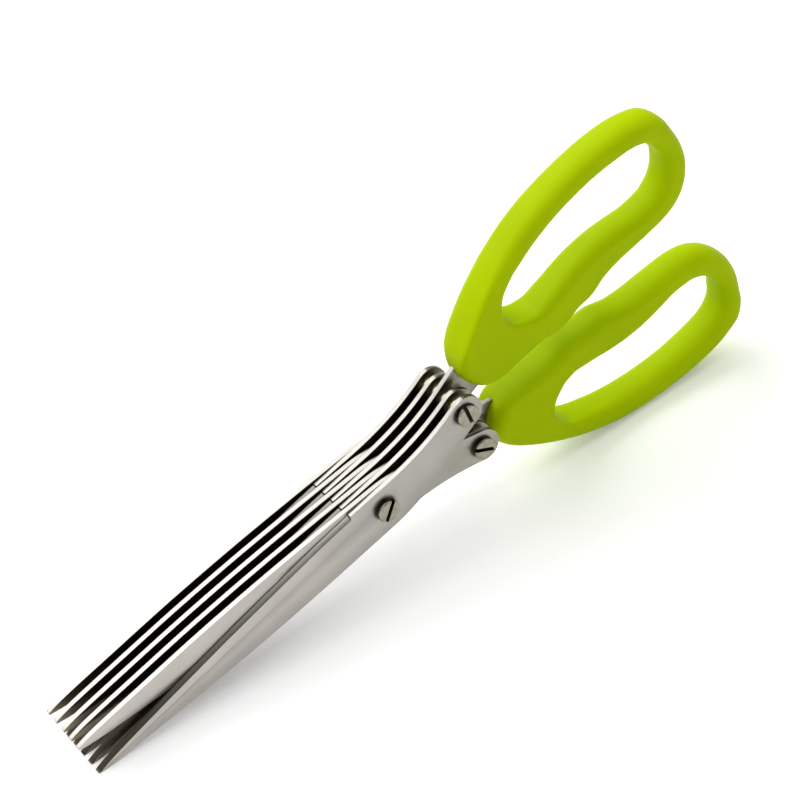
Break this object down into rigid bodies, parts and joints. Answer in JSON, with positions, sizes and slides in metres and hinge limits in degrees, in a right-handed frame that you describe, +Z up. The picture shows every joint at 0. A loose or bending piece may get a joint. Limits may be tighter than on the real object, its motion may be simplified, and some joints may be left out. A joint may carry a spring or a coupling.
{
  "type": "herb scissors",
  "caption": "Scissors with interleaved narrow steel blades on one pivot screw, notched beside the pivot, with cranked shanks and two closed plastic finger loops, for snipping herbs.",
  "frame": {"origin": "on the ground, under the middle of the scissors' bounding box, as they stand on edge on the blade tips and the lower loop", "axes": "+X from the blade tips to the finger loops, +Y along the pivot from the screw heads to the nuts, +Z up"},
  "size_m": [0.1902, 0.02, 0.0763],
  "materials": {
    "blade_steel": "fine satin, bright on the narrow edges",
    "screw_nickel": "nickel plated, semi-bright",
    "spacer_brass": "semi-bright",
    "handle_plastic": "smooth satin"
  },
  "bodies": {
    "lower_half": {"lower_blade_1": "blade_steel", "lower_blade_2": "blade_steel", "lower_blade_3": "blade_steel", "lower_blade_4": "blade_steel", "lower_blade_5": "blade_steel", "lower_handle": "handle_plastic", "lower_shank_screw": "screw_nickel", "lower_shank_nut": "screw_nickel", "lower_spacer_1": "spacer_brass", "lower_spacer_2": "spacer_brass", "lower_spacer_3": "spacer_brass", "lower_spacer_4": "spacer_brass", "pivot_screw": "screw_nickel", "pivot_nut": "screw_nickel", "pivot_washer_1": "blade_steel", "pivot_washer_2": "blade_steel", "pivot_washer_3": "blade_steel", "pivot_washer_4": "blade_steel"},
    "upper_half": {"upper_blade_1": "blade_steel", "upper_blade_2": "blade_steel", "upper_blade_3": "blade_steel", "upper_blade_4": "blade_steel", "upper_blade_5": "blade_steel", "upper_handle": "handle_plastic", "upper_shank_screw": "screw_nickel", "upper_shank_nut": "screw_nickel", "upper_spacer_1": "spacer_brass", "upper_spacer_2": "spacer_brass", "upper_spacer_3": "spacer_brass", "upper_spacer_4": "spacer_brass"}
  },
  "joints": [
    {"name": "pivot", "type": "hinge", "parent": "lower_half", "child": "upper_half", "pos_m": [-0.01081, 0, 0.02147], "axis": [0, -1, 0], "range_deg": [-5, 45]}
  ]
}
